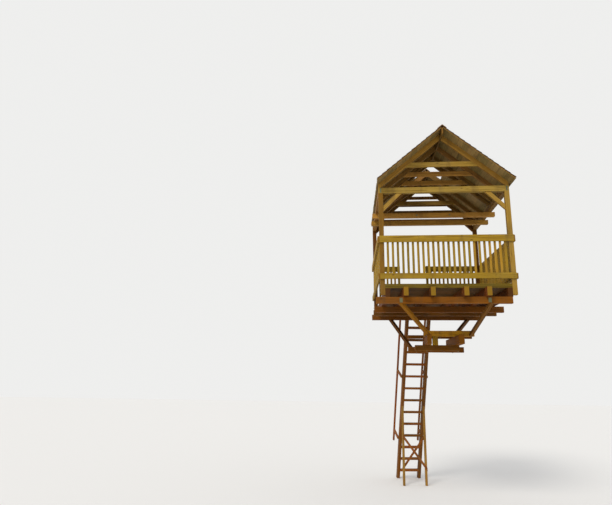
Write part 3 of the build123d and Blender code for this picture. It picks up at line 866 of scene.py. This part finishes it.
def lay_deck():
    """Deck boards with the round hole."""
    bm = bmesh.new()
    for i in range(DECK_BOARDS):
        near = deck_low.y + i * board_step + BOARD_GAP / 2
        far = near + board_step - BOARD_GAP
        if near < HOLE_MIDDLE + DECK_HOLE_RADIUS and far > HOLE_MIDDLE - DECK_HOLE_RADIUS:
            for side in (-1, 1):
                board_beside_hole(bm, side, near, far)
        else:
            add_board(bm, (deck_low.x, near, deck_low.z), (deck_high.x, far, deck_high.z))
    finish_timbers(
        bm, "deck_boards_laid", deck_brown, ["floor_deck"], arris=0.003, wander=0.001
    )


lay_deck()

# %% [markdown]
# ## Roof covering
#
# Each slope is close boards nailed across the rafters, which is the smooth brown surface that shows
# from below, with wooden shingles lapped over them. A slope has its own coordinates: down the slope,
# along the ridge, and off the slope. Shingles are cubes whose head end is thinned, laid course by
# course with uneven widths. Boards and courses stop at the square opening, so none needs cutting.

# %% The slopes' coordinates
ROOF_PITCH = math.radians(40)
ROOF_THICK = 0.050
ROOF_HOLE_HALF = 0.340

roof_boxes = {side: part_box("roof_left" if side < 0 else "roof_right") for side in (-1, 1)}
roof_front = roof_boxes[1][0].y
roof_back = roof_boxes[1][1].y
hole_front = HOLE_MIDDLE - ROOF_HOLE_HALF
hole_back = HOLE_MIDDLE + ROOF_HOLE_HALF
hole_reach = ROOF_HOLE_HALF / math.cos(ROOF_PITCH)
apex_bottom = roof_boxes[1][1].z - ROOF_THICK / math.cos(ROOF_PITCH)


def slope_matrix(side):
    """Down the slope, along the ridge, and off the slope, from the apex of the rafters' top."""
    return Matrix((
        (side * math.cos(ROOF_PITCH), 0, side * math.sin(ROOF_PITCH), 0),
        (0, 1, 0, 0),
        (-math.sin(ROOF_PITCH), 0, math.cos(ROOF_PITCH), apex_bottom),
        (0, 0, 0, 1),
    ))


def slope_length(side):
    """Length of a slope from the ridge to its eave."""
    return abs(roof_boxes[side][0 if side < 0 else 1].x) / math.cos(ROOF_PITCH)


def spans_beside_hole(past_ends):
    """The lengths in front of the opening and behind it, reaching past the slopes' ends."""
    return [(roof_front - past_ends, hole_front), (hole_back, roof_back + past_ends)]


print("slopes", round(slope_length(-1), 3), round(slope_length(1), 3), "hole", round(hole_reach, 3))

# %% Sheathing boards
SHEATHING_THICK = 0.018
SHEATHING_WIDE = 0.140
SHEATHING_GAP = 0.004
SHEATHING_INSET = 0.006
SHEATHING_RIDGE_GAP = 0.012
SHEATHING_SETBACK = 0.016


def sheathing():
    """Close boards along both slopes, stopped at the opening."""
    bm = bmesh.new()
    beside = spans_beside_hole(-SHEATHING_INSET)
    whole = [(beside[0][0], beside[1][1])]
    for side in (-1, 1):
        eave = slope_length(side) - SHEATHING_SETBACK
        for start, finish, spans in (
            (SHEATHING_RIDGE_GAP, hole_reach, beside),
            (hole_reach, eave, whole),
        ):
            count = round((finish - start) / SHEATHING_WIDE)
            step = (finish - start) / count
            for i in range(count):
                low_edge = start + (i + 1) * step
                for near, far in spans:
                    add_board(
                        bm, (low_edge - step + SHEATHING_GAP, near, 0), (low_edge, far, SHEATHING_THICK),
                        slope_matrix(side),
                    )
    finish_timbers(bm, "roof_sheathing", sheathing_brown, arris=0.001)


sheathing()

# %% A shingle and a course
SHINGLE_THICK = 0.011
THICK_VARIES = 0.002
HEAD_THICK = 0.004
BUTT_VARIES = 0.005
SHINGLE_MIN = 0.085
SHINGLE_MAX = 0.165
SLIVER = 0.02
SIDE_CLEARANCE = 0.0015
picks = random.Random(17)


def shingle(bm, matrix, low_edge, start, finish, length, lift):
    """One wedge-shaped shingle whose butt rests lift above the sheathing."""
    butt = low_edge + picks.uniform(-BUTT_VARIES, BUTT_VARIES)
    thick = SHINGLE_THICK + picks.uniform(-THICK_VARIES, THICK_VARIES)
    head = butt - length
    for vert in add_board(bm, (head, start, 0), (butt, finish, 1)):
        at_butt = vert.co.x > (head + butt) / 2
        on_top = vert.co.z > 0.5
        base = SHEATHING_THICK + (lift if at_butt else 0.0)
        vert.co.z = base + ((thick if at_butt else HEAD_THICK) if on_top else 0.0)
        vert.co = matrix @ vert.co


def course(bm, matrix, low_edge, spans, length, lift):
    """A row of shingles of uneven width."""
    for start, finish in spans:
        place = start
        while place < finish - SLIVER:
            wide = min(picks.uniform(SHINGLE_MIN, SHINGLE_MAX), finish - place)
            if finish - place - wide < SHINGLE_MIN:
                wide = finish - place
            near, far = place + SIDE_CLEARANCE, place + wide - SIDE_CLEARANCE
            shingle(bm, matrix, low_edge, near, far, length, lift)
            place += wide


# %% Lay the shingles
SHINGLE_LONG = 0.300
LOWER_EXPOSURE = 0.148
UPPER_COURSES = 3
EAVE_SETBACK = 0.030
SHINGLE_OVERHANG = 0.004
STARTER_SETBACK = 0.003
STARTER_LONG = 0.16
STARTER_LIFT = 0.001
HEAD_LAP = 0.01
RIDGE_REACH = 0.006
# Each butt lies on the shingle below it, a little sunk into its taper
LIFT = (SHINGLE_THICK + HEAD_THICK) * 0.95


def shingles(side, name, replaced):
    """The shingled covering of one slope."""
    bm = bmesh.new()
    matrix = slope_matrix(side)
    eave = slope_length(side) - EAVE_SETBACK
    lower = round((eave - hole_reach) / LOWER_EXPOSURE)
    exposure = (eave - hole_reach) / lower
    before_hole, behind_hole = spans_beside_hole(SHINGLE_OVERHANG)
    whole = [(before_hole[0], behind_hole[1])]
    course(bm, matrix, eave - STARTER_SETBACK, whole, STARTER_LONG, STARTER_LIFT)
    for i in range(lower - 1):
        course(bm, matrix, eave - i * exposure, whole, SHINGLE_LONG, LIFT)
    # The last course below the opening has short shingles in its middle
    low_edge = eave - (lower - 1) * exposure
    course(bm, matrix, low_edge, [before_hole], SHINGLE_LONG, LIFT)
    course(bm, matrix, low_edge, [(hole_front, hole_back)], exposure + HEAD_LAP, LIFT)
    course(bm, matrix, low_edge, [behind_hole], SHINGLE_LONG, LIFT)
    for i in range(UPPER_COURSES):
        low_edge = hole_reach - i * hole_reach / UPPER_COURSES
        length = min(SHINGLE_LONG, low_edge + RIDGE_REACH)
        course(bm, matrix, low_edge, [before_hole, behind_hole], length, LIFT)
    print(name, lower + UPPER_COURSES, "courses")
    finish_timbers(
        bm, name, shingle_brown, [replaced], arris=0.0015, wander=0, segments=1
    )


shingle_brown = timber_material(
    "split shingles", (92, 68, 44), (56, 40, 28),
    rings=0.35, cracks=1.0, grey=0.5, green=0.9, relief=0.003,
)
shingles(-1, "shingles_left", "roof_left")
shingles(1, "shingles_right", "roof_right")

# %% [markdown]
# A pair of boards caps the ridge in front of the opening and another behind it, one board lapped over
# the other, so that rain can't reach the joint between the slopes.

# %% Ridge caps
CAP_THICK = 0.016
CAP_WIDE = 0.125
CAP_LIFT = 0.034
CAP_OVERHANG = 0.012


def ridge_caps():
    """Two boards over the ridge, in front of the opening and behind it."""
    bm = bmesh.new()
    for start, finish in spans_beside_hole(CAP_OVERHANG):
        for side in (-1, 1):
            over = CAP_THICK if side > 0 else 0.0
            top_edge = -(CAP_LIFT + over) * math.tan(ROOF_PITCH)
            add_board(
                bm, (top_edge, start, CAP_LIFT), (top_edge + CAP_WIDE, finish, CAP_LIFT + CAP_THICK),
                slope_matrix(side),
            )
    finish_timbers(bm, "ridge_caps", shingle_brown, arris=0.002)


ridge_caps()

# %% [markdown]
# ## Ironwork
#
# The frame is held by galvanised coach bolts and the boards by nails. Each bolt is a hexagonal head
# on a round washer, made from cones that narrow a little outwards, and a nail head is a low
# eight-sided disc. Flat plates tie the front struts to the beam above them and the front tie beam to
# its posts. They are real geometry, because they throw small shadows that tell the eye the scale.

# %% Zinc material
SPANGLE_SCALE = (180, 180, 180)
RUST_SCALE = (45, 45, 45)
ZINC_DARK = (0.12, 0.13, 0.07, 1)
ZINC_PALE = (0.20, 0.21, 0.12, 1)
RUST = (0.16, 0.06, 0.022, 1)

zinc, tree, shader = open_material("dull zinc")
place = node(tree, "ShaderNodeTexCoord").outputs["Object"]
spangle = noise_value(tree, stretched(tree, place, SPANGLE_SCALE), detail=2.0)
rust_spots = remap(tree, noise_value(tree, stretched(tree, place, RUST_SCALE), detail=5.0), 0.52, 0.68)
metal = mix_colour(tree, spangle, ZINC_DARK, ZINC_PALE)
join(
    tree,
    (mix_colour(tree, rust_spots, metal, RUST), shader.inputs["Base Color"]),
    (remap(tree, rust_spots, 0.0, 1.0, 0.42, 0.85), shader.inputs["Roughness"]),
    (remap(tree, rust_spots, 0.0, 1.0, 0.9, 0.1), shader.inputs["Metallic"]),
)
print(zinc.name, len(tree.nodes), "nodes")

# %% Bolts and nails
WASHER_RADIUS = 0.022
WASHER_THICK = 0.003
BOLT_RADIUS = 0.012
BOLT_HIGH = 0.009
BOLT_TURN = 0.3
NAIL_RADIUS = 0.005
NAIL_HIGH = 0.0024
NAIL_SUNK = 0.0004
# Where a pair of nails goes across a board or a plate
NAIL_PAIR = (0.25, 0.75)


def facing_matrix(place, outward):
    """A matrix at a place whose Z axis points outwards."""
    return Matrix.Translation(place) @ Vector(outward).to_track_quat("Z", "Y").to_matrix().to_4x4()


def add_disc(bm, matrix, sides, radius, narrowing, high, middle):
    """A disc that narrows upwards, with its middle above a matrix's origin."""
    bmesh.ops.create_cone(
        bm, cap_ends=True, segments=sides, radius1=radius, radius2=radius * narrowing,
        depth=high, matrix=matrix @ Matrix.Translation((0, 0, middle)),
    )


def add_bolt(bm, place, outward):
    """A hexagonal head on a washer."""
    matrix = facing_matrix(place, outward)
    add_disc(
        bm, matrix, sides=20, radius=WASHER_RADIUS, narrowing=0.96,
        high=WASHER_THICK, middle=WASHER_THICK / 2,
    )
    add_disc(
        bm, matrix @ Matrix.Rotation(BOLT_TURN, 4, "Z"), sides=6, radius=BOLT_RADIUS, narrowing=0.93,
        high=BOLT_HIGH, middle=WASHER_THICK + BOLT_HIGH / 2,
    )


def add_nail(bm, place, outward):
    """A low round head."""
    add_disc(
        bm, facing_matrix(place, outward), sides=8, radius=NAIL_RADIUS, narrowing=0.7,
        high=NAIL_HIGH, middle=NAIL_HIGH / 2 - NAIL_SUNK,
    )


def centre_of(box):
    """Middle of a node's box."""
    return (box[0] + box[1]) / 2


# %% Fix the frame with bolts
POST_BOLT_RISES = (0.06, 0.14)
BEAM_BOLT_PLACES = (-post_in - 0.05, -0.34, 0.34, post_in)
TIE_BOLT_PLACES = (-0.40, 0.40)


def frame_bolts():
    """Coach bolts at the collar, the posts, the back beam and the ties round the opening."""
    bm = bmesh.new()
    for cross, end in (("collar_left", "front"), ("collar_right", "front"), ("collar_right", "back")):
        x = centre_of(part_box(cross)).x
        for layer, outward in (("upper", 1), ("lower", -1)):
            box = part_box("collar_%s_%s" % (layer, end))
            add_bolt(bm, (x, centre_of(box).y, box[1 if outward > 0 else 0].z), (0, 0, outward))
    for corner in ("front_left", "front_right", "back_left", "back_right"):
        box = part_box("post_" + corner)
        side = -1 if "left" in corner else 1
        for rise in POST_BOLT_RISES:
            place = (box[0 if side < 0 else 1].x, centre_of(box).y, box[0].z + rise)
            add_bolt(bm, place, (side, 0, 0))
    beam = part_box("platform_beam_back")
    for x in BEAM_BOLT_PLACES:
        add_bolt(bm, (x, beam[1].y, centre_of(beam).z), (0, 1, 0))
    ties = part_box("tie_beams_trunk")
    for x in TIE_BOLT_PLACES:
        add_bolt(bm, (x, ties[0].y, centre_of(ties).z), (0, -1, 0))
        add_bolt(bm, (x, ties[1].y, centre_of(ties).z), (0, 1, 0))
    as_piece(bm, "coach_bolts", zinc)


frame_bolts()

# %% Plates
PLATE_THICK = 0.003
PLATE_SUNK = 0.0005
STRUT_PLATE_WIDE = 0.065
STRUT_PLATE_INSET = 0.07
STRUT_PLATE_MARGIN = 0.020
POST_PLATE_WIDE = 0.032
POST_PLATE_MARGIN = 0.008
PLATE_NAIL_SHIFTS = (-0.28, 0.28)


def plates():
    """Nailed plates on the front beam over the struts, and on the front tie beam over the posts."""
    bm = bmesh.new()
    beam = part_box("platform_beam_front")
    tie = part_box("tie_beam_front")
    left_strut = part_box("strut_front_left")
    right_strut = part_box("strut_front_right")
    seats = [
        (left_strut[0].x + STRUT_PLATE_INSET, beam, STRUT_PLATE_WIDE, STRUT_PLATE_MARGIN),
        (right_strut[1].x - STRUT_PLATE_INSET, beam, STRUT_PLATE_WIDE, STRUT_PLATE_MARGIN),
        (tie[0].x + post_side / 2, tie, POST_PLATE_WIDE, POST_PLATE_MARGIN),
        (tie[1].x - post_side / 2, tie, POST_PLATE_WIDE, POST_PLATE_MARGIN),
    ]
    for x, (low, high), wide, margin in seats:
        bottom, top = low.z + margin, high.z - margin
        face = low.y - PLATE_THICK
        add_board(bm, (x - wide / 2, face, bottom), (x + wide / 2, low.y + PLATE_SUNK, top))
        for rise in NAIL_PAIR:
            for shift in PLATE_NAIL_SHIFTS:
                add_nail(bm, (x + shift * wide, face, bottom + rise * (top - bottom)), (0, -1, 0))
    as_piece(bm, "steel_plates", zinc)


plates()

# %% Nail the boards
RAIL_NAIL_RISES = (-0.03, 0.03)
RAIL_NAIL_INSET = 0.05
DECK_NAIL_PLACES = (-1.27, -0.90, -0.36, 0.36, 0.90, 1.27)
HOLE_NAIL_MARGIN = 0.03


def nails():
    """Nail heads in the railings and the deck."""
    bm = bmesh.new()
    rail_middles = (rail_low.z + BOTTOM_RAIL_HIGH / 2, rail_high.z - TOP_RAIL_HIGH / 2)
    for z in (middle + rise for middle in rail_middles for rise in RAIL_NAIL_RISES):
        for x in (-post_out + RAIL_NAIL_INSET, post_out - RAIL_NAIL_INSET):
            add_nail(bm, (x, front_face - RAIL_THICK, z), (0, -1, 0))
            add_nail(bm, (x, back_face + RAIL_THICK, z), (0, 1, 0))
        for y in (front_face + RAIL_NAIL_INSET, back_face - RAIL_NAIL_INSET):
            add_nail(bm, (-post_out - RAIL_THICK, y, z), (-1, 0, 0))
            add_nail(bm, (post_out + RAIL_THICK, y, z), (1, 0, 0))
        for x in (entrance_left - newel_side / 2, entrance_right + newel_side / 2):
            add_nail(bm, (x, back_face + RAIL_THICK, z), (0, 1, 0))
    for i in range(DECK_BOARDS):
        for x in DECK_NAIL_PLACES:
            for part in NAIL_PAIR:
                y = deck_low.y + (i + part) * board_step
                if math.hypot(x, y - HOLE_MIDDLE) > DECK_HOLE_RADIUS + HOLE_NAIL_MARGIN:
                    add_nail(bm, (x, y, deck_high.z), (0, 0, 1))
    as_piece(bm, "nail_heads", zinc)


nails()

# %% [markdown]
# ## Floor and light
#
# A plain pale floor lies at the ladder's feet. Its colour and the sky's pale colour for the camera
# make the background, and a soft sky with one wide lamp lights the house at a plain level.

# %% Floor
FLOOR_SIZE = 60
FLOOR_DROP = 0.001
FLOOR_COLOUR = (0.78, 0.77, 0.75, 1)
FLOOR_ROUGHNESS = 0.9

floor_height = cad_low.z - FLOOR_DROP
bm = bmesh.new()
bmesh.ops.create_grid(
    bm, x_segments=1, y_segments=1, size=FLOOR_SIZE,
    matrix=Matrix.Translation((0, 0, floor_height)),
)
floor_mesh = bpy.data.meshes.new("floor")
bm.to_mesh(floor_mesh)
bm.free()
floor = add_object("floor", floor_mesh)
pale, tree, shader = open_material("pale floor")
shader.inputs["Base Color"].default_value = FLOOR_COLOUR
shader.inputs["Roughness"].default_value = FLOOR_ROUGHNESS
floor_mesh.materials.append(pale)
print("floor at", round(floor_height, 3))

# %% Sky
SKY_COLOUR = (0.97, 0.98, 1.0, 1)
SKY_STRENGTH = 0.80
BACKDROP_COLOUR = (0.86, 0.86, 0.85, 1)

world = bpy.data.worlds.new("studio")
bpy.context.scene.world = world
world.use_nodes = True
tree = world.node_tree
sky = tree.nodes["Background"]
sky.inputs["Color"].default_value = SKY_COLOUR
sky.inputs["Strength"].default_value = SKY_STRENGTH
backdrop = node(tree, "ShaderNodeBackground", Color=BACKDROP_COLOUR, Strength=1.0)
path = node(tree, "ShaderNodeLightPath")
pale_rays = math_node(tree, "MAXIMUM", path.outputs["Is Camera Ray"], path.outputs["Is Glossy Ray"])
pale_rays = math_node(tree, "MAXIMUM", pale_rays, path.outputs["Is Transmission Ray"])
choice = node(tree, "ShaderNodeMixShader")
join(
    tree,
    (pale_rays, choice.inputs[0]),
    (sky.outputs[0], choice.inputs[1]),
    (backdrop.outputs[0], choice.inputs[2]),
    (choice.outputs[0], tree.nodes["World Output"].inputs["Surface"]),
)

# %% Lamp
SUN_STRENGTH = 1.5
SUN_ANGLE = math.radians(20)
SUN_COLOUR = (1.0, 0.965, 0.90)
SUN_FALL = math.radians(48)
SUN_TURN = math.radians(-28)

sun_data = bpy.data.lights.new("wide lamp", "SUN")
sun_data.energy = SUN_STRENGTH
sun_data.angle = SUN_ANGLE
sun_data.color = SUN_COLOUR
sun = add_object("wide lamp", sun_data)
sun.rotation_euler = (SUN_FALL, 0, SUN_TURN)
bpy.context.scene.view_settings.view_transform = "Standard"
print("sky", SKY_STRENGTH, "lamp", SUN_STRENGTH)
